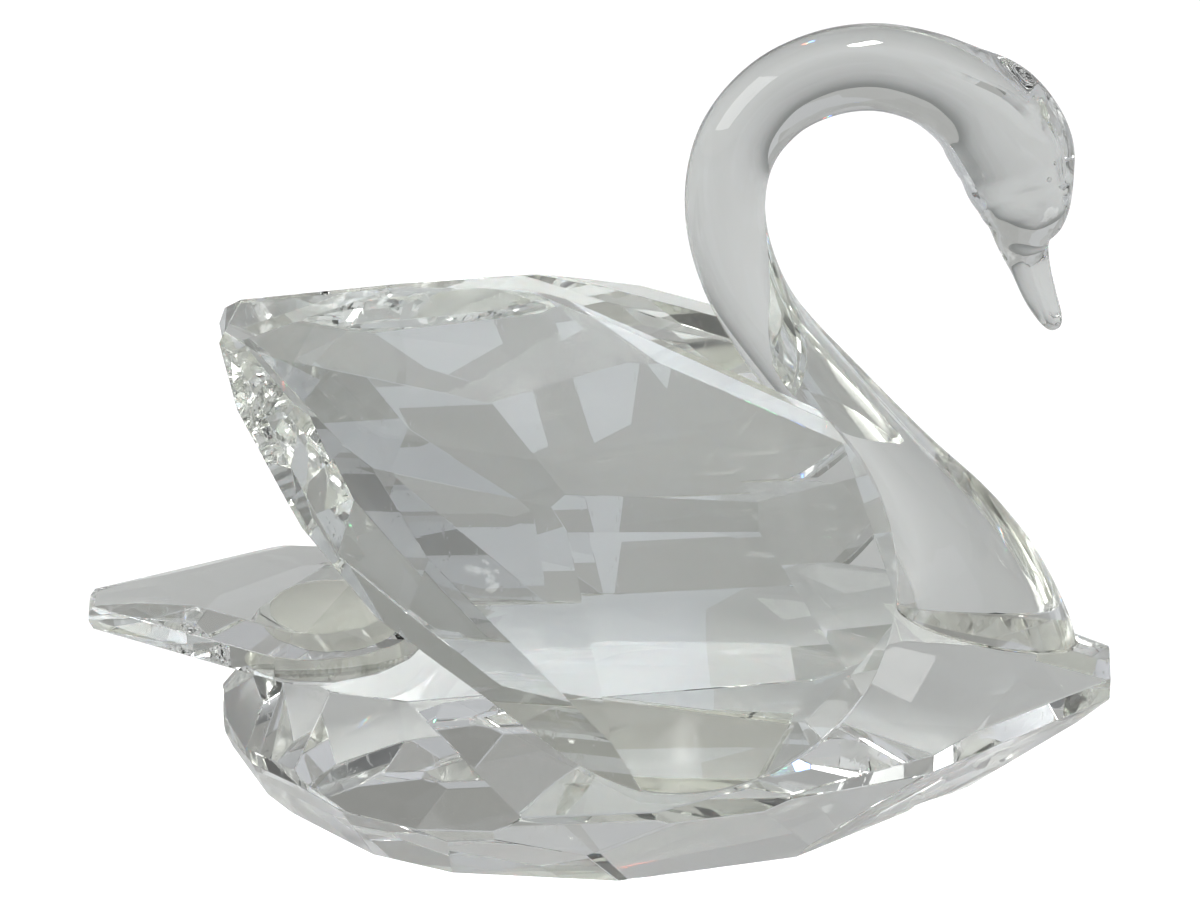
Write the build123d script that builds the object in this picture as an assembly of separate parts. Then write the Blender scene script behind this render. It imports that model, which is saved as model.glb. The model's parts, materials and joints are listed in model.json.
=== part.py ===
from build123d import *
from math import cos, radians, sin, sqrt, tan
import os

# Cut-crystal swan figurine in millimetres. +X is the way the swan faces, +Z is up.
# Z = 0 is the ground base of the body; X = 0 is midway between tail tip and prow.

# Body stone
DECK_Z = 16.0  # where the long deck meets the prow deck, its highest line
DECK_RISE = 1.7  # the long deck, which carries the tail, climbs forward
GIRDLE_LOW_Z = 7.4
GIRDLE_HIGH_Z = 8.9
HALF_WIDTH = 17.3
# Corners of the girdle in plan, (x, half width), prow first.
GIRDLE = [
    (39.1, 1.3),
    (24.0, 10.5),
    (12.7, 15.5),
    (2.7, HALF_WIDTH),
    (-9.0, HALF_WIDTH),
    (-17.0, 14.8),
    (-23.0, 10.5),
    (-27.0, 5.5),
    (-28.6, 2.0),
]
SEAT_SLOPE = 40.0  # side facets that carry the wings
# Each cut is (azimuth, slope from level, x, half width, z of a point on it).
CROWN_CUTS = [
    (180.0, 50.0, -28.6, 0.0, 11.3),
    (145.0, 56.0, -25.0, 8.0, 9.2),
    (113.0, 60.0, -10.5, 14.0, 11.8),
    (90.0, SEAT_SLOPE, 0.0, HALF_WIDTH, GIRDLE_HIGH_Z),
    (66.0, 54.0, 18.0, 13.15, GIRDLE_HIGH_Z),
    (59.0, 65.0, 31.0, 6.25, 9.6),
]
PAVILION_CUTS = [
    (0.0, 50.0, 39.1, 0.0, 7.9),
    (57.0, 50.0, 30.0, 6.85, 7.7),
    (69.0, 61.0, 18.0, 13.15, 7.9),
    (80.0, 54.0, 8.0, 16.3, 7.7),
    (90.0, 68.0, 1.0, HALF_WIDTH, 8.2),
    (100.0, 47.0, -9.0, HALF_WIDTH, GIRDLE_LOW_Z),
    (106.0, 66.0, -13.0, 16.2, 8.1),
    (118.0, 49.0, -15.0, 15.4, GIRDLE_LOW_Z),
    (138.0, 52.0, -24.0, 9.25, 8.2),
    (157.0, 62.0, -27.6, 4.2, 8.4),
    (180.0, 80.0, -28.6, 0.0, 9.1),
    (180.0, 44.0, -27.2, 0.0, 2.8),
]
PROW_DECK_PITCH = 13.6  # front deck falls towards the prow
CREST = (22.1, 0.0, DECK_Z)

# Adhesive
FILM = 0.15

# Wing stones: a pear outline, a round front with two edges running to the rear tip
WING_CENTRE = (4.9, 12.2, 24.9)  # centre of the round front, left wing
WING_ROLL = 15.5  # tops lean in
WING_YAW = 6.5  # rears close in
WING_RADIUS = 15.5
WING_RIM = 3.5  # girdle plane to the inner edge of the rim
WING_DEPTH = 4.25  # girdle plane to the flat inner face
WING_BULGE = 4.2  # girdle plane to the thickest point outside
TIP_CLEARANCE = 0.3  # each rear end from the middle plane
# Corners of the outline from the round front's centre, from the top backwards and down.
WING_REAR = [
    (-9.2, 20.3),
    (-20.0, 20.9),
    (-32.1, 19.5),
    (-33.6, 16.6),
    (-32.4, 11.6),
    (-27.7, 3.0),
    (-22.3, -3.4),
]
TOP_TANGENT = 62.0  # where the straight top edge meets the round front
HEEL_TANGENT = 232.0
# Outer facets: height over the girdle plane at the centre, rise along the wing, rise up the wing.
OUTER_FACETS = [
    (13.15, 0.0, -0.845),
    (16.58, -0.1745, -1.105),
    (38.86, -1.096, -2.62),
    (6.49, 0.105, -0.231),
    (6.0, -0.119, -0.426),
    (3.17, -0.1, 0.0),
    (6.91, -0.203, -0.498),
    (4.66, 0.174, 0.171),
    (2.68, -0.1, 0.1146),
    (4.38, -0.308, -0.0145),
    (14.0, 0.633, 0.303),
    (8.94, 0.435, 0.432),
    (10.93, 0.541, 0.390),
]
INNER_BEVEL = 22.0
# Inner bevels: direction in the wing's plane, distance of the rim from the centre.
INNER_EDGES = [
    (20.0, WING_RADIUS),
    (65.0, WING_RADIUS),
    (206.6, 23.4),
    (234.0, WING_RADIUS),
    (320.0, WING_RADIUS),
]

# Tail stone: a flat drop, round end forward, level at its own girdle and then tipped up
TAIL_CENTRE = (-22.3, 0.0, 17.3)
TAIL_PITCH = 3.5
TAIL_RADIUS = 9.4
TAIL_LENGTH = 25.4
TAIL_TIP_HALF = 1.3
TAIL_GIRDLE = 0.9  # half the girdle's height
TAIL_TABLE = 2.0  # flat top over the girdle's middle
TAIL_KEEL = 3.4
TAIL_SEAT_RADIUS = 4.6
TAIL_SEAT_X = -20.4
TAIL_SIDES = 11

# Neck and head, one drawn rod: (x, z, half depth in the middle plane, half width) up from the foot
NECK = [
    (29.7, 10.0, 7.3, 4.5),
    (29.2, 13.2, 6.9, 4.2),
    (28.5, 16.2, 6.2, 4.0),
    (27.4, 19.2, 5.5, 3.8),
    (25.4, 22.8, 4.7, 3.6),
    (21.9, 27.2, 3.95, 3.4),
    (17.2, 33.1, 3.4, 3.15),
    (12.3, 39.5, 2.9, 2.95),
    (9.9, 44.4, 2.9, 2.9),
    (9.0, 49.2, 2.93, 2.9),
    (9.8, 53.7, 3.0, 2.9),
    (12.4, 57.1, 3.05, 2.95),
    (15.9, 58.9, 3.1, 3.0),
    (19.6, 59.35, 3.15, 3.05),
    (23.0, 58.6, 3.25, 3.1),
    (25.48, 57.36, 3.55, 3.2),
    (27.96, 55.56, 4.25, 3.3),
    (29.82, 52.81, 4.4, 3.3),
    (30.48, 50.44, 4.03, 3.1),
    (30.84, 48.77, 3.54, 2.85),
    (30.95, 47.3, 3.0, 2.5),
    (30.94, 45.69, 2.01, 1.9),
    (31.52, 43.7, 1.48, 1.5),
    (32.4, 41.25, 1.2, 1.2),
    (33.3, 39.4, 0.85, 0.9),
    (33.65, 38.7, 0.45, 0.5),
]


def slope_plane(azimuth, slope, point, up=1.0):
    """Plane through point; its normal leans slope degrees from vertical towards azimuth."""
    a, s = radians(azimuth), radians(slope)
    return Plane(origin=point, z_dir=(sin(s) * cos(a), sin(s) * sin(a), up * cos(s)))


def grind(stone, plane):
    """Takes off what stands above plane."""
    return split(stone, bisect_by=plane, keep=Keep.BOTTOM)


def raised(plane, height):
    return Plane(origin=plane.origin + plane.z_dir * height, x_dir=plane.x_dir, z_dir=plane.z_dir)


def both_sides(cut, up):
    """A cut and its mirror image, or one plane for a cut square across the middle."""
    azimuth, slope, x, half_width, z = cut
    planes = [slope_plane(azimuth, slope, (x, half_width, z), up)]
    if azimuth % 180:
        planes.append(slope_plane(-azimuth, slope, (x, -half_width, z), up))
    return planes


def single(shape):
    """The one solid of shape."""
    return max(shape.solids(), key=lambda s: s.volume)


prow_deck = slope_plane(0, PROW_DECK_PITCH, CREST)
long_deck = slope_plane(180, DECK_RISE, CREST)
left_seat = slope_plane(90, SEAT_SLOPE, (0, HALF_WIDTH, GIRDLE_HIGH_Z))
right_seat = slope_plane(-90, SEAT_SLOPE, (0, -HALF_WIDTH, GIRDLE_HIGH_Z))


def make_body():
    outline = GIRDLE + [(x, -w) for x, w in reversed(GIRDLE)]
    stone = extrude(make_face(Polyline(*outline, close=True)), DECK_Z)
    for cut in CROWN_CUTS:
        for plane in both_sides(cut, 1.0):
            stone = grind(stone, plane)
    for cut in PAVILION_CUTS:
        for plane in both_sides(cut, -1.0):
            stone = grind(stone, plane)
    return single(grind(grind(stone, prow_deck), long_deck))


def wing_outline():
    """Pear outline in the wing's own plane, centred on its round front."""
    top = (WING_RADIUS * cos(radians(TOP_TANGENT)), WING_RADIUS * sin(radians(TOP_TANGENT)))
    heel = (WING_RADIUS * cos(radians(HEEL_TANGENT)), WING_RADIUS * sin(radians(HEEL_TANGENT)))
    straight = Polyline(top, *WING_REAR, heel)
    front = ThreePointArc(heel, (WING_RADIUS, 0), top)
    return make_face(straight + front)


def make_wing():
    """Left wing stone before its seat is ground."""
    roll, yaw = radians(WING_ROLL), radians(WING_YAW)
    outward = Vector(-sin(yaw) * cos(roll), cos(yaw) * cos(roll), sin(roll))
    along = Vector(cos(yaw), sin(yaw), 0)
    up = along.cross(outward) * -1
    if up.Z < 0:
        up = up * -1
    centre = Vector(*WING_CENTRE)
    frame = Plane(origin=centre, x_dir=along, z_dir=along.cross(up))
    side = 1.0 if frame.z_dir.dot(outward) > 0 else -1.0
    blank = extrude(wing_outline(), WING_DEPTH + WING_BULGE)
    blank = Pos(0, 0, -WING_DEPTH if side > 0 else -WING_BULGE) * blank
    stone = frame.location * blank
    for height, rise_along, rise_up in OUTER_FACETS:
        normal = outward - along * rise_along - up * rise_up
        stone = grind(stone, Plane(origin=centre + outward * height, z_dir=normal))
    tilt = tan(radians(INNER_BEVEL))
    for direction, distance in INNER_EDGES:
        reach = along * cos(radians(direction)) + up * sin(radians(direction))
        edge = centre + reach * distance - outward * WING_RIM
        stone = grind(stone, Plane(origin=edge, z_dir=reach * tilt - outward))
    return grind(stone, Plane(origin=(0, TIP_CLEARANCE, 0), z_dir=(0, -1, 0)))


def above(stone, plane):
    return split(stone, bisect_by=plane, keep=Keep.TOP)


def seated(stone, seat):
    """The stone standing one film's thickness off its seat, and the film under it."""
    lifted = raised(seat, FILM)
    film = grind(above(stone, seat), lifted)
    return single(above(stone, lifted)), single(film)


def tail_outline():
    """Drop in plan: a round end forward and two straight edges to a blunt tip."""
    lean = radians(104)
    tip_x = TAIL_RADIUS - TAIL_LENGTH
    shoulder = (TAIL_RADIUS * cos(lean), TAIL_RADIUS * sin(lean))
    left = Line(shoulder, (tip_x, TAIL_TIP_HALF))
    tip = Line((tip_x, TAIL_TIP_HALF), (tip_x, -TAIL_TIP_HALF))
    right = Line((tip_x, -TAIL_TIP_HALF), (shoulder[0], -shoulder[1]))
    front = ThreePointArc((shoulder[0], -shoulder[1]), (TAIL_RADIUS, 0), shoulder)
    return make_face(left + tip + right + front)


def make_tail():
    """The tail stone before its seat is ground."""
    stone = Pos(0, 0, -TAIL_KEEL) * extrude(tail_outline(), TAIL_KEEL + TAIL_TABLE)
    for i in range(TAIL_SIDES):
        azimuth = -110.0 + 220.0 * i / (TAIL_SIDES - 1)
        a = radians(azimuth)
        x, y = TAIL_RADIUS * cos(a), TAIL_RADIUS * sin(a)
        stone = grind(stone, slope_plane(azimuth, 27, (x, y, TAIL_GIRDLE)))
        stone = grind(stone, slope_plane(azimuth, 34, (x, y, -TAIL_GIRDLE), -1.0))
    tip_x = TAIL_RADIUS - TAIL_LENGTH
    for side in (1, -1):
        for azimuth, slope in ((120, 25), (146, 13)):
            point = (tip_x, side * TAIL_TIP_HALF, TAIL_GIRDLE)
            stone = grind(stone, slope_plane(side * azimuth, slope, point))
            point = (tip_x, side * TAIL_TIP_HALF, -TAIL_GIRDLE)
            stone = grind(stone, slope_plane(side * azimuth, slope + 3, point, -1.0))
    stone = grind(stone, slope_plane(180, 55, (tip_x, 0, 0.4)))
    stone = grind(stone, slope_plane(180, 55, (tip_x, 0, -0.4), -1.0))
    return Pos(*TAIL_CENTRE) * Rot(0, TAIL_PITCH, 0) * stone


def make_tail_bond():
    """A round film on the long deck."""
    blank = Pos(TAIL_SEAT_X, 0, 0) * extrude(Circle(TAIL_SEAT_RADIUS), DECK_Z + 1)
    return single(grind(above(blank, long_deck), raised(long_deck, FILM)))


def make_neck():
    sections = []
    for i, (x, z, half_depth, half_width) in enumerate(NECK):
        before = NECK[max(i - 1, 0)]
        after = NECK[min(i + 1, len(NECK) - 1)]
        way = Vector(after[0] - before[0], 0, after[1] - before[1])
        across = Vector(0, 1, 0).cross(way)
        station = Plane(origin=(x, 0, z), x_dir=across, z_dir=way)
        sections.append(station * Ellipse(half_depth, half_width))
    return loft(sections)


def write(name, solid, rgb, clear=0.35):
    solid = Pos(-middle, 0, 0) * solid
    solid.label = name
    solid.color = Color(*rgb, clear)
    export_step(solid, "parts/" + name + ".step")


CRYSTAL = (0.86, 0.89, 0.88)
GLUE = (0.86, 0.82, 0.66)

body = make_body()
left_wing, left_film = seated(make_wing(), left_seat)
left_film = single(left_film & (Pos(*(left_seat.z_dir * FILM)) * body))
tail = single(above(make_tail(), raised(long_deck, FILM)))
neck, neck_film = seated(make_neck(), prow_deck)

ends = [shape.bounding_box() for shape in (body, tail)]
middle = (min(b.min.X for b in ends) + max(b.max.X for b in ends)) / 2

os.makedirs("parts", exist_ok=True)
write("body", body, CRYSTAL)
write("wing_left", left_wing, CRYSTAL)
write("wing_right", mirror(left_wing, about=Plane.XZ), CRYSTAL)
write("tail", tail, CRYSTAL)
write("neck_and_head", neck, CRYSTAL)
write("wing_left_bond", left_film, GLUE)
write("wing_right_bond", mirror(left_film, about=Plane.XZ), GLUE)
write("tail_bond", make_tail_bond(), GLUE)
write("neck_bond", neck_film, GLUE)
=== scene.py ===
import json
import math

import bmesh
import bpy
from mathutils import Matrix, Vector

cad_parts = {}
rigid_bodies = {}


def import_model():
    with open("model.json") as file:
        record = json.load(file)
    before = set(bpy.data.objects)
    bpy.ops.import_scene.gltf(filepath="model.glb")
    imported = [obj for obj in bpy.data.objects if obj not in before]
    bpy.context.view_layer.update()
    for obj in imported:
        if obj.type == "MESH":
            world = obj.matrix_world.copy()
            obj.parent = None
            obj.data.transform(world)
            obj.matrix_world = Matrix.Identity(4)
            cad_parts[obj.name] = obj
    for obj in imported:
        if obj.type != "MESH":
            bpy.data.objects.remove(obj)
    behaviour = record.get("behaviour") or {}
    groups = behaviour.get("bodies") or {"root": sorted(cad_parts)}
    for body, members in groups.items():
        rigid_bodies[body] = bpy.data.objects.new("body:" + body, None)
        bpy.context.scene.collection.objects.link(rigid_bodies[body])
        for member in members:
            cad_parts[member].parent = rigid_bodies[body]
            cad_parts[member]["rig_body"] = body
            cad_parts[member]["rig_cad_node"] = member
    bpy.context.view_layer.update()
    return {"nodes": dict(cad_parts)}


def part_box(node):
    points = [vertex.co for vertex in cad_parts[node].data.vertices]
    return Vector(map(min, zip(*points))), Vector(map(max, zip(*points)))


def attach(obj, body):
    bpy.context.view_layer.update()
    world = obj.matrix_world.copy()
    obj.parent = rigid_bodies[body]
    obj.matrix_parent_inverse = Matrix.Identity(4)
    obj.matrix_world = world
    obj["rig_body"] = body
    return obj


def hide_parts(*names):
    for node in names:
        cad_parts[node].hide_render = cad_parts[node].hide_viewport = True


# Cut crystal swan in metres, standing on a pale table. +X is the way the swan faces, +Z is up.

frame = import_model()

MM = 0.001
PROW_X = 39.1  # the prow's place in the neck's own measurements
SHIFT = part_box("body")[1].x - PROW_X * MM

PROW_DECK_PITCH = 13.6
CREST = (22.1, 0.0, 16.0)
FILM = 0.15

# Neck and head, one drawn rod: (x, z, half depth, half width) up from the foot, in millimetres
NECK = [
    (29.7, 10.0, 7.3, 4.5),
    (29.2, 13.2, 6.9, 4.2),
    (28.5, 16.2, 6.2, 4.0),
    (27.4, 19.2, 5.5, 3.8),
    (25.4, 22.8, 4.7, 3.6),
    (21.9, 27.2, 3.95, 3.4),
    (17.2, 33.1, 3.4, 3.15),
    (12.3, 39.5, 2.9, 2.95),
    (9.9, 44.4, 2.9, 2.9),
    (9.0, 49.2, 2.93, 2.9),
    (9.8, 53.7, 3.0, 2.9),
    (12.4, 57.1, 3.05, 2.95),
    (15.9, 58.9, 3.1, 3.0),
    (19.6, 59.35, 3.15, 3.05),
    (23.0, 58.6, 3.25, 3.1),
    (25.48, 57.36, 3.55, 3.2),
    (27.96, 55.56, 4.25, 3.3),
    (29.82, 52.81, 4.4, 3.3),
    (30.48, 50.44, 4.03, 3.1),
    (30.84, 48.77, 3.54, 2.85),
    (30.95, 47.3, 3.0, 2.5),
    (30.94, 45.69, 2.01, 1.9),
    (31.52, 43.7, 1.48, 1.5),
    (32.4, 41.25, 1.2, 1.2),
    (33.3, 39.4, 0.85, 0.9),
    (33.65, 38.7, 0.45, 0.5),
]
RING_SIDES = 40
RINGS_PER_STATION = 5
CHEEK_FROM = 14 * RINGS_PER_STATION  # rings between which the cheeks are nipped
CHEEK_TO = 19 * RINGS_PER_STATION
GROOVE = 0.92  # how far in the crease above the cheek is pressed


# ---------------------------------------------------------------- shader helpers


def node(tree, kind, **values):
    n = tree.nodes.new(kind)
    for key, value in values.items():
        if hasattr(n, key) and key not in n.inputs:
            setattr(n, key, value)
        else:
            n.inputs[key].default_value = value
    return n


def ramp(tree, source, stops):
    r = tree.nodes.new("ShaderNodeValToRGB")
    band = r.color_ramp
    while len(band.elements) < len(stops):
        band.elements.new(0.5)
    for element, (place, level) in zip(band.elements, stops):
        element.position = place
        element.color = (*level, 1) if isinstance(level, tuple) else (level, level, level, 1)
    tree.links.new(source, r.inputs["Fac"])
    return r.outputs["Color"]


def maths(tree, operation, a, b):
    m = tree.nodes.new("ShaderNodeMath")
    m.operation = operation
    for socket, value in zip(m.inputs, (a, b)):
        if isinstance(value, (int, float)):
            socket.default_value = value
        else:
            tree.links.new(value, socket)
    return m.outputs["Value"]


def group(name, inputs, outputs):
    g = bpy.data.node_groups.new(name, "ShaderNodeTree")
    for label, kind, default in inputs:
        socket = g.interface.new_socket(name=label, in_out="INPUT", socket_type=kind)
        if default is not None:
            socket.default_value = default
    for label, kind in outputs:
        g.interface.new_socket(name=label, in_out="OUTPUT", socket_type=kind)
    return g, g.nodes.new("NodeGroupInput"), g.nodes.new("NodeGroupOutput")


def handling_marks():
    """Haze where fingers were, and a few hair scratches."""
    g, given, out = group(
        "handling_marks",
        [
            ("Vector", "NodeSocketVector", None),
            ("Haze", "NodeSocketFloat", 0.05),
            ("Scratches", "NodeSocketFloat", 0.2),
        ],
        [("Roughness", "NodeSocketFloat"), ("Height", "NodeSocketFloat")],
    )
    blotch = node(g, "ShaderNodeTexNoise", Scale=95.0, Detail=3.0, Roughness=0.55)
    g.links.new(given.outputs["Vector"], blotch.inputs["Vector"])
    smear = ramp(g, blotch.outputs["Fac"], [(0.55, 0.0), (0.72, 1.0)])
    stretch = node(g, "ShaderNodeMapping")
    stretch.inputs["Scale"].default_value = (2600, 260, 900)
    stretch.inputs["Rotation"].default_value = (0.3, 0.7, 0.5)
    g.links.new(given.outputs["Vector"], stretch.inputs["Vector"])
    hair = node(g, "ShaderNodeTexNoise", Scale=1.0, Detail=1.0)
    g.links.new(stretch.outputs["Vector"], hair.inputs["Vector"])
    line = ramp(g, hair.outputs["Fac"], [(0.70, 0.0), (0.76, 1.0)])
    haze = maths(g, "MULTIPLY", smear, given.outputs["Haze"])
    marks = maths(g, "MULTIPLY", line, given.outputs["Scratches"])
    g.links.new(maths(g, "ADD", haze, maths(g, "MULTIPLY", marks, 0.3)), out.inputs["Roughness"])
    g.links.new(marks, out.inputs["Height"])
    return g


def clear_material(name, tint, ior, shadow, marks, haze, scratches, bump):
    m = bpy.data.materials.new(name)
    m.use_nodes = True
    t = m.node_tree
    t.nodes.clear()
    out = t.nodes.new("ShaderNodeOutputMaterial")
    glass = t.nodes.new("ShaderNodeBsdfPrincipled")
    glass.inputs["Base Color"].default_value = (*tint, 1)
    glass.inputs["Metallic"].default_value = 0.0
    glass.inputs["Transmission Weight"].default_value = 1.0
    glass.inputs["IOR"].default_value = ior
    place = t.nodes.new("ShaderNodeTexCoord")
    wear = t.nodes.new("ShaderNodeGroup")
    wear.node_tree = marks
    wear.inputs["Haze"].default_value = haze
    wear.inputs["Scratches"].default_value = scratches
    t.links.new(place.outputs["Object"], wear.inputs["Vector"])
    t.links.new(wear.outputs["Roughness"], glass.inputs["Roughness"])
    relief = t.nodes.new("ShaderNodeBump")
    relief.inputs["Strength"].default_value = bump
    relief.inputs["Distance"].default_value = 0.00002
    t.links.new(wear.outputs["Height"], relief.inputs["Height"])
    t.links.new(relief.outputs["Normal"], glass.inputs["Normal"])
    ray = t.nodes.new("ShaderNodeLightPath")
    through = t.nodes.new("ShaderNodeBsdfTransparent")
    through.inputs["Color"].default_value = (shadow, shadow, shadow, 1)
    mix = t.nodes.new("ShaderNodeMixShader")
    t.links.new(ray.outputs["Is Shadow Ray"], mix.inputs[0])
    t.links.new(glass.outputs["BSDF"], mix.inputs[1])
    t.links.new(through.outputs["BSDF"], mix.inputs[2])
    t.links.new(mix.outputs["Shader"], out.inputs["Surface"])
    return m


# ---------------------------------------------------------------- pieces


def alone(piece):
    bpy.ops.object.select_all(action="DESELECT")
    piece.select_set(True)
    bpy.context.view_layer.objects.active = piece


def twin(name, label):
    """A piece of its own with the CAD piece's shape, its loose triangles merged."""
    alone(frame["nodes"][name])
    bpy.ops.object.duplicate()
    piece = bpy.context.view_layer.objects.active
    piece.name = label
    piece.data.name = label
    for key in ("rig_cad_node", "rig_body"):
        if key in piece:
            del piece[key]
    piece.parent = None
    alone(piece)
    bpy.ops.mesh.customdata_custom_splitnormals_clear()
    bpy.ops.object.mode_set(mode="EDIT")
    bpy.ops.mesh.select_all(action="SELECT")
    bpy.ops.mesh.remove_doubles(threshold=0.000002)
    return piece


def cut_stone(name, label, edge, material):
    """A faceted stone with its edges just broken, as polishing leaves them."""
    piece = twin(name, label)
    bpy.ops.mesh.dissolve_limited(angle_limit=math.radians(0.4))
    bpy.ops.object.mode_set(mode="OBJECT")
    broken = piece.modifiers.new("broken_edges", "BEVEL")
    broken.width = edge * MM
    broken.segments = 1
    broken.limit_method = "ANGLE"
    broken.angle_limit = math.radians(7)
    bpy.ops.object.modifier_apply(modifier=broken.name)
    bpy.ops.object.shade_smooth_by_angle(angle=math.radians(5))
    flat_facets(piece)
    finish_piece(piece, name, material)
    return piece


def flat_facets(piece):
    """Every facet is dead flat, and so are the narrow strips of a round rim."""
    widest = {}
    for face in piece.data.polygons:
        for pair in face.edge_keys:
            widest.setdefault(pair, []).append(face.index)
    normals = [face.normal.copy() for face in piece.data.polygons]
    for face in piece.data.polygons:
        near = 0
        for pair in face.edge_keys:
            for other in widest[pair]:
                turn_by = normals[face.index].angle(normals[other], 0)
                if other != face.index and math.radians(2.5) < turn_by < math.radians(4.9):
                    near += 1
        face.use_smooth = False


def bond(name, label, material):
    """Adhesive pressed into both stones' faces, with a hair squeezed out all round."""
    piece = twin(name, label)
    bpy.ops.transform.shrink_fatten(value=0.02 * MM)
    bpy.ops.object.mode_set(mode="OBJECT")
    finish_piece(piece, name, material)
    return piece


def finish_piece(piece, name, material):
    piece.data.materials.clear()
    piece.data.materials.append(material)
    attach(piece, "root")
    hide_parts(name)


def along_rod():
    """Ring after ring up the rod: centre, lean from upright, half depth, half width."""
    rows = [Vector(row) for row in NECK]
    smooth = []
    for i in range(len(rows) - 1):
        a = rows[max(i - 1, 0)]
        b = rows[i]
        c = rows[i + 1]
        d = rows[min(i + 2, len(rows) - 1)]
        for k in range(RINGS_PER_STATION):
            s = k / RINGS_PER_STATION
            smooth.append(
                0.5 * (2 * b + (c - a) * s + (2 * a - 5 * b + 4 * c - d) * s * s
                       + (3 * b - a - 3 * c + d) * s ** 3)
            )
    smooth.append(rows[-1])
    rings = []
    for i, row in enumerate(smooth):
        before = smooth[max(i - 1, 0)]
        after = smooth[min(i + 1, len(smooth) - 1)]
        lean = math.atan2(after[0] - before[0], after[1] - before[1])
        centre = Vector((row[0] * MM + SHIFT, 0, row[1] * MM))
        rings.append((centre, lean, row[2] * MM, row[3] * MM))
    return rings


def wrap(angle):
    return (angle + math.pi) % (2 * math.pi) - math.pi


def turn(angle, centre):
    """Leans the selection towards +X by angle."""
    if abs(angle) > 1e-9:
        bpy.ops.transform.rotate(value=-angle, orient_axis="Y", center_override=centre)


def pick(piece, wanted):
    """Selects only the vertices whose place passes wanted, and says how many there are."""
    mesh = bmesh.from_edit_mesh(piece.data)
    bpy.ops.mesh.select_all(action="DESELECT")
    found = 0
    for vertex in mesh.verts:
        if wanted(vertex.co):
            vertex.select = True
            found += 1
    mesh.select_flush(True)
    bmesh.update_edit_mesh(piece.data)
    return found


def head_place(x, y, z):
    return Vector((x * MM + SHIFT, y * MM, z * MM))


def press_cheeks(piece, rings):
    """The glass was nipped flat below the crown, which leaves a crease from nape to beak."""
    border = []
    for i in range(CHEEK_FROM, CHEEK_TO + 1):
        centre, lean, depth, width = rings[i]
        share = (i - CHEEK_FROM) / (CHEEK_TO - CHEEK_FROM)
        crease = 0.52 + 0.26 * share * share
        top = Vector((-math.cos(lean), 0, math.sin(lean)))
        ring = range(i * RING_SIDES, (i + 1) * RING_SIDES)
        mesh = bmesh.from_edit_mesh(piece.data)
        mesh.verts.ensure_lookup_table()
        bpy.ops.mesh.select_all(action="DESELECT")
        nipped = []
        for k in ring:
            vertex = mesh.verts[k]
            height = (vertex.co - centre).dot(top) / depth
            if -0.8 < height < crease:
                vertex.select = True
                nipped.append((vertex.co.y > 0, height, k))
        bmesh.update_edit_mesh(piece.data)
        press = 1 - 0.15 * min(1.0, share * 3.0) * (1 - 0.85 * max(0.0, share * 5 - 4))
        bpy.ops.transform.resize(value=(1, press, 1), center_override=(0, 0, 0))
        for left in (False, True):
            border.append(max(entry for entry in nipped if entry[0] == left)[2])
    mesh = bmesh.from_edit_mesh(piece.data)
    mesh.verts.ensure_lookup_table()
    bpy.ops.mesh.select_all(action="DESELECT")
    for k in border:
        mesh.verts[k].select = True
    bmesh.update_edit_mesh(piece.data)
    bpy.ops.transform.resize(value=(1, GROOVE, 1), center_override=(0, 0, 0))
    mesh = bmesh.from_edit_mesh(piece.data)
    mesh.verts.ensure_lookup_table()
    sharp = mesh.edges.layers.float.new("crease_edge")
    for first, second in zip(border, border[2:]):
        edge = mesh.edges.get((mesh.verts[first], mesh.verts[second]))
        if edge:
            edge[sharp] = 1.0
    bmesh.update_edit_mesh(piece.data)


def dimple(piece, spot, reach, deep):
    """A shallow hollow pressed straight in from the side."""
    for share in (1.0, 0.62):
        if pick(piece, lambda v: (v - spot).length < reach * share):
            inward = -math.copysign(deep / 2, spot.y)
            bpy.ops.transform.translate(value=(0, inward, 0))


def eye(piece, spot):
    """A small round pit, set in where the point nearest the spot is cut off square."""
    mesh = bmesh.from_edit_mesh(piece.data)
    bpy.ops.mesh.select_all(action="DESELECT")
    point = min(mesh.verts, key=lambda v: (v.co - spot).length_squared)
    point.select = True
    inward = point.normal * 0.4 * MM
    if inward.y * spot.y > 0:
        inward.negate()
    bmesh.update_edit_mesh(piece.data)
    bpy.ops.mesh.bevel(offset=0.32 * MM, segments=1, affect="VERTICES")
    bpy.ops.mesh.inset(thickness=0.02 * MM)
    bpy.ops.mesh.extrude_region_move(TRANSFORM_OT_translate={"value": inward})


def beak_flat(piece, side):
    """The flat ground on each side of the beak."""
    on = head_place(31.0, -1.38 * side, 44.6)
    out = Vector((0.384, -0.922 * side, 0.042)).normalized()
    mesh = bmesh.from_edit_mesh(piece.data)
    low, high = 39.4 * MM, 44.5 * MM
    proud = [v.index for v in mesh.verts if low < v.co.z < high and (v.co - on).dot(out) > 0]
    for index in proud:
        mesh = bmesh.from_edit_mesh(piece.data)
        mesh.verts.ensure_lookup_table()
        bpy.ops.mesh.select_all(action="DESELECT")
        vertex = mesh.verts[index]
        vertex.select = True
        back = out * -((vertex.co - on).dot(out))
        bmesh.update_edit_mesh(piece.data)
        bpy.ops.transform.translate(value=back)


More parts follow.
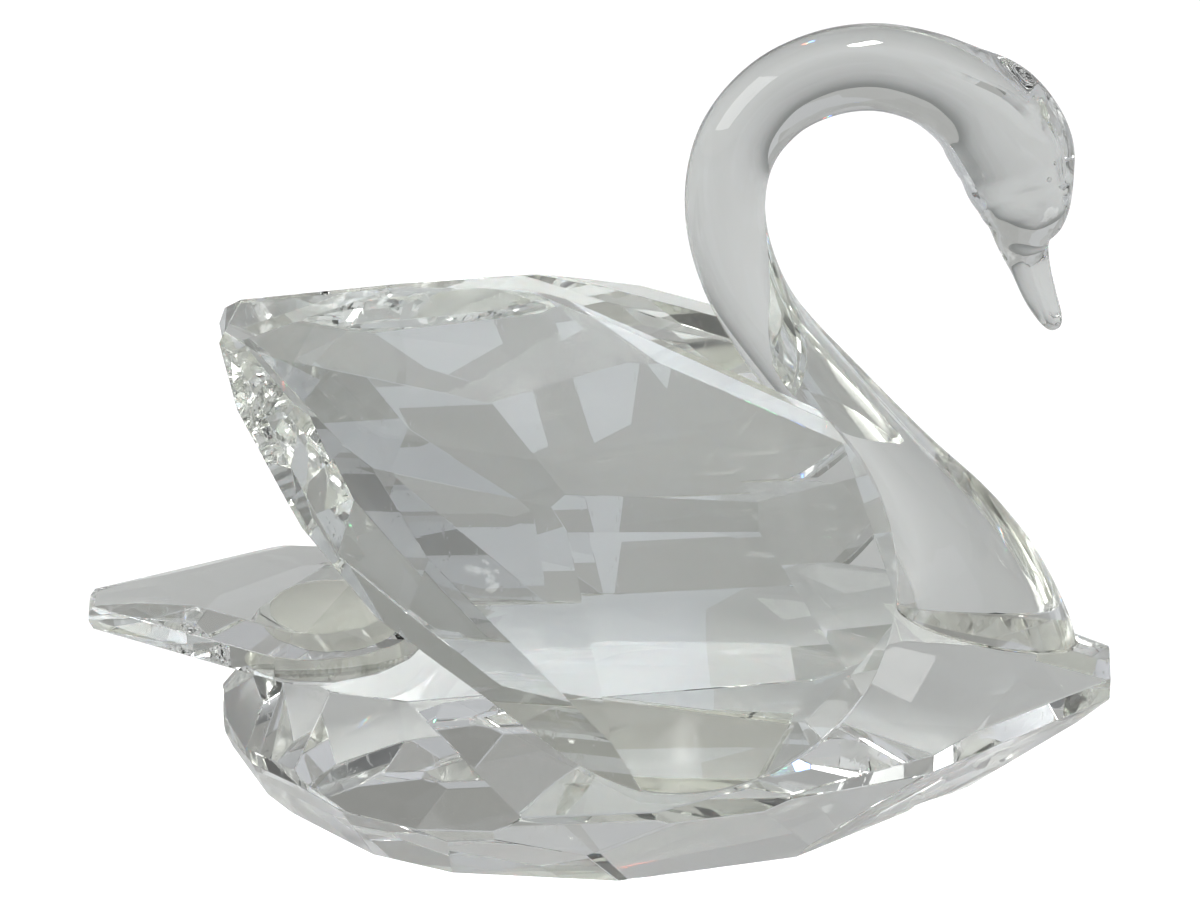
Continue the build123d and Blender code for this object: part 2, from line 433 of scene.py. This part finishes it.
def drawn_neck(material):
    rings = along_rod()
    centre, lean, depth, width = rings[0]
    bpy.ops.object.select_all(action="DESELECT")
    bpy.ops.mesh.primitive_circle_add(
        vertices=RING_SIDES, radius=1, fill_type="NOTHING", location=(0, 0, 0)
    )
    piece = bpy.context.view_layer.objects.active
    piece.name = "swan_neck_and_head"
    piece.data.name = piece.name
    bpy.ops.object.mode_set(mode="EDIT")
    bpy.ops.mesh.select_all(action="SELECT")
    bpy.ops.transform.resize(value=(depth, width, 1))
    turn(lean, Vector((0, 0, 0)))
    bpy.ops.transform.translate(value=centre)
    for before, after in zip(rings, rings[1:]):
        bpy.ops.mesh.extrude_region_move(
            TRANSFORM_OT_translate={"value": after[0] - before[0]}
        )
        turn(wrap(after[1] - before[1]), after[0])
        thick = after[2] / before[2]
        wide = after[3] / before[3]
        bpy.ops.transform.resize(value=(thick, wide, thick), center_override=after[0])
    bpy.ops.mesh.edge_face_add()
    press_cheeks(piece, rings)
    for side in (1, -1):
        dimple(piece, head_place(31.4, -2.5 * side, 48.75), 0.85 * MM, 0.26 * MM)
        dimple(piece, head_place(30.75, -2.6 * side, 56.4), 0.75 * MM, 0.30 * MM)
        beak_flat(piece, side)
        eye(piece, head_place(32.3, -2.5 * side, 51.3))
    bpy.ops.object.mode_set(mode="OBJECT")
    soft = piece.modifiers.new("fire_polish", "SUBSURF")
    soft.levels = 1
    soft.render_levels = 1
    bpy.ops.object.modifier_apply(modifier=soft.name)
    bpy.ops.object.mode_set(mode="EDIT")
    bpy.ops.mesh.select_all(action="SELECT")
    pitch = math.radians(PROW_DECK_PITCH)
    up = Vector((math.sin(pitch), 0, math.cos(pitch)))
    crest = Vector((CREST[0] * MM + SHIFT, 0, CREST[2] * MM)) + up * FILM * MM
    bpy.ops.mesh.bisect(plane_co=crest, plane_no=up, clear_inner=True, use_fill=True)
    bpy.ops.mesh.select_all(action="SELECT")
    bpy.ops.mesh.normals_make_consistent(inside=False)
    bpy.ops.object.mode_set(mode="OBJECT")
    bpy.ops.object.shade_smooth_by_angle(angle=math.radians(16))
    finish_piece(piece, "neck_and_head", material)
    return piece


marks = handling_marks()
crystal = clear_material("cut_crystal", (0.935, 0.95, 0.935), 1.545, 0.93, marks, 0.04, 0.25, 0.2)
rod_glass = clear_material("drawn_rod_glass", (0.935, 0.95, 0.935), 1.52, 0.93, marks, 0.05, 0.15, 0.15)
glue = clear_material("clear_adhesive", (0.99, 0.98, 0.93), 1.53, 0.97, marks, 0.1, 0.0, 0.0)

cut_stone("body", "swan_body", 0.06, crystal)
cut_stone("wing_left", "swan_wing_left", 0.05, crystal)
cut_stone("wing_right", "swan_wing_right", 0.05, crystal)
cut_stone("tail", "swan_tail", 0.05, crystal)
drawn_neck(rod_glass)
bond("wing_left_bond", "bond_wing_left", glue)
bond("wing_right_bond", "bond_wing_right", glue)
bond("tail_bond", "bond_tail", glue)
bond("neck_bond", "bond_neck", glue)

# ---------------------------------------------------------------- table, light and camera


def patchwork(tree, place, scale):
    """Quiet flat tones, cool and warm, such as a room round a table has. On the table top they are a
    painted reflection of that room, met only by rays that have come through the stones.
    """
    cells = node(tree, "ShaderNodeTexVoronoi", Scale=scale)
    cells.distance = "CHEBYCHEV"
    tree.links.new(place, cells.inputs["Vector"])
    grey = tree.nodes.new("ShaderNodeSeparateColor")
    tree.links.new(cells.outputs["Color"], grey.inputs["Color"])
    return ramp(tree, grey.outputs["Red"], [
        (0.0, (0.15, 0.15, 0.15)),
        (0.12, (0.27, 0.27, 0.255)),
        (0.4, (0.36, 0.36, 0.35)),
        (0.7, (0.42, 0.43, 0.45)),
        (1.0, (0.56, 0.57, 0.59)),
    ])


def inside_share(tree, ray):
    """How much of the patchwork a ray meets: the more stones it has been through, the more."""
    steps = maths(tree, "SUBTRACT", ray.outputs["Ray Depth"], 1.8)
    share = maths(tree, "DIVIDE", steps, 2.4)
    share = maths(tree, "MINIMUM", maths(tree, "MAXIMUM", share, 0.0), 1.0)
    left = maths(tree, "DIVIDE", maths(tree, "SUBTRACT", 14.0, ray.outputs["Ray Depth"]), 6.0)
    left = maths(tree, "MINIMUM", maths(tree, "MAXIMUM", left, 0.0), 1.0)
    return maths(tree, "MULTIPLY", share, left)


def table():
    bpy.ops.object.select_all(action="DESELECT")
    bpy.ops.mesh.primitive_plane_add(size=6, location=(0, 0, -0.00003))
    top = bpy.context.view_layer.objects.active
    top.name = "table_top"
    m = bpy.data.materials.new("pale_table")
    m.use_nodes = True
    t = m.node_tree
    paint = t.nodes["Principled BSDF"]
    paint.inputs["Roughness"].default_value = 0.9
    paint.inputs["Specular IOR Level"].default_value = 0.1
    ray = t.nodes.new("ShaderNodeLightPath")
    mix = t.nodes.new("ShaderNodeMix")
    mix.data_type = "RGBA"
    place = t.nodes.new("ShaderNodeTexCoord")
    # Painted reflection: room tones painted on the top, met only by rays that have been through the
    # stones.
    painted_room_tones = patchwork(t, place.outputs["Object"], 36.0)
    deep = inside_share(t, ray)
    around = t.nodes.new("ShaderNodeMix")
    around.data_type = "RGBA"
    reach = t.nodes.new("ShaderNodeVectorMath")
    reach.operation = "LENGTH"
    t.links.new(place.outputs["Object"], reach.inputs[0])
    # Painted shadow: to rays that come through the stones the top is painted darker grey close to the
    # swan and lighter further out; straight from the camera it stays an even pale white.
    spread = maths(t, "MULTIPLY", reach.outputs["Value"], 8.0)
    painted_shadow_tone = ramp(t, spread, [(0.2, (0.36, 0.365, 0.36)), (0.62, (0.60, 0.61, 0.60))])
    t.links.new(painted_shadow_tone, around.inputs["A"])
    t.links.new(painted_room_tones, around.inputs["B"])
    t.links.new(deep, around.inputs["Factor"])
    t.links.new(around.outputs["Result"], mix.inputs["A"])
    mix.inputs["B"].default_value = (0.95, 0.95, 0.95, 1)
    t.links.new(ray.outputs["Is Camera Ray"], mix.inputs["Factor"])
    t.links.new(mix.outputs["Result"], paint.inputs["Base Color"])
    # Painted light: a glow that only the camera sees, rising with distance from the swan, whitens the
    # far table while the shade close by stays.
    painted_glow_far = ramp(t, maths(t, "MULTIPLY", reach.outputs["Value"], 1.0), [(0.12, 0.0), (0.55, 1.0)])
    lit = t.nodes.new("ShaderNodeMix")
    lit.data_type = "RGBA"
    lit.inputs["A"].default_value = (0, 0, 0, 1)
    t.links.new(painted_glow_far, lit.inputs["B"])
    t.links.new(ray.outputs["Is Camera Ray"], lit.inputs["Factor"])
    t.links.new(lit.outputs["Result"], paint.inputs["Emission Color"])
    paint.inputs["Emission Strength"].default_value = 0.5
    top.data.materials.append(m)


DARK_GAP = (-0.07, -0.90, 0.42)  # towards the open front of the light tent


def room():
    w = bpy.data.worlds.new("soft_room")
    bpy.context.scene.world = w
    w.use_nodes = True
    t = w.node_tree
    t.nodes.clear()
    out = t.nodes.new("ShaderNodeOutputWorld")
    away = t.nodes.new("ShaderNodeTexCoord")
    split = t.nodes.new("ShaderNodeSeparateXYZ")
    t.links.new(away.outputs["Generated"], split.inputs["Vector"])
    height = ramp(t, split.outputs["Z"], [(0.0, 0.57), (0.3, 0.58), (0.7, 0.60), (1.0, 0.62)])
    ray = t.nodes.new("ShaderNodeLightPath")
    tone = t.nodes.new("ShaderNodeMix")
    tone.data_type = "RGBA"
    t.links.new(inside_share(t, ray), tone.inputs["Factor"])
    t.links.new(height, tone.inputs["A"])
    t.links.new(patchwork(t, away.outputs["Generated"], 2.6), tone.inputs["B"])
    seen = node(t, "ShaderNodeBackground", Strength=1.0)
    seen.inputs["Color"].default_value = (1, 1, 1, 1)
    gap = t.nodes.new("ShaderNodeVectorMath")
    gap.operation = "DOT_PRODUCT"
    gap.inputs[1].default_value = DARK_GAP
    t.links.new(away.outputs["Generated"], gap.inputs[0])
    dark = ramp(t, gap.outputs["Value"], [(0.86, 1.0), (0.93, 0.06)])
    shade = t.nodes.new("ShaderNodeMix")
    shade.data_type = "RGBA"
    shade.blend_type = "MULTIPLY"
    shade.inputs["Factor"].default_value = 1.0
    t.links.new(tone.outputs["Result"], shade.inputs["A"])
    t.links.new(dark, shade.inputs["B"])
    around = node(t, "ShaderNodeBackground", Strength=1.0)
    t.links.new(shade.outputs["Result"], around.inputs["Color"])
    mix = t.nodes.new("ShaderNodeMixShader")
    t.links.new(ray.outputs["Is Camera Ray"], mix.inputs[0])
    t.links.new(around.outputs["Background"], mix.inputs[1])
    t.links.new(seen.outputs["Background"], mix.inputs[2])
    t.links.new(mix.outputs["Shader"], out.inputs["Surface"])


def softbox(name, place, aim, wide, high, watts, tint=(1, 1, 1)):
    bpy.ops.object.select_all(action="DESELECT")
    bpy.ops.object.light_add(type="AREA", location=place)
    lamp = bpy.context.view_layer.objects.active
    lamp.name = name
    lamp.data.shape = "RECTANGLE"
    lamp.data.size = wide
    lamp.data.size_y = high
    lamp.data.energy = watts
    lamp.data.color = tint
    lamp.rotation_euler = (Vector(aim) - Vector(place)).to_track_quat("-Z", "Y").to_euler()
    lamp.visible_camera = False
    return lamp


def camera():
    azimuth = math.radians(-4.5)
    elevation = math.radians(25)
    look = Vector((-0.00044, 0, 0.0298))
    back = Vector((
        math.sin(azimuth) * math.cos(elevation),
        -math.cos(azimuth) * math.cos(elevation),
        math.sin(elevation),
    ))
    place = look + back * 0.3
    bpy.ops.object.camera_add(location=place)
    cam = bpy.context.view_layer.objects.active
    cam.rotation_euler = (look - place).to_track_quat("-Z", "Y").to_euler()
    cam.data.lens = 121.5
    cam.data.sensor_width = 36
    cam.data.clip_start = 0.01
    bpy.context.scene.camera = cam


table()
room()
softbox("key_softbox", (0.05, -0.06, 0.48), (0, 0, 0.03), 0.11, 0.06, 1.3)
softbox("warm_glint", (-0.115, 0.260, 0.420), (0, 0, 0.03), 0.010, 0.026, 0.10, (1.0, 0.12, 0.05))
softbox("green_glint", (-0.103, 0.260, 0.420), (0, 0, 0.03), 0.008, 0.026, 0.05, (0.15, 1.0, 0.35))
softbox("cool_glint", (-0.091, 0.260, 0.420), (0, 0, 0.03), 0.010, 0.026, 0.10, (0.08, 0.25, 1.0))
softbox("fill_softbox", (-0.38, -0.12, 0.30), (0, 0, 0.03), 0.30, 0.30, 0.9)
camera()

scene = bpy.context.scene
scene.view_settings.view_transform = "Standard"
scene.cycles.max_bounces = 32
scene.cycles.transmission_bounces = 32
scene.cycles.glossy_bounces = 16
scene.cycles.transparent_max_bounces = 32
scene.cycles.sample_clamp_indirect = 8
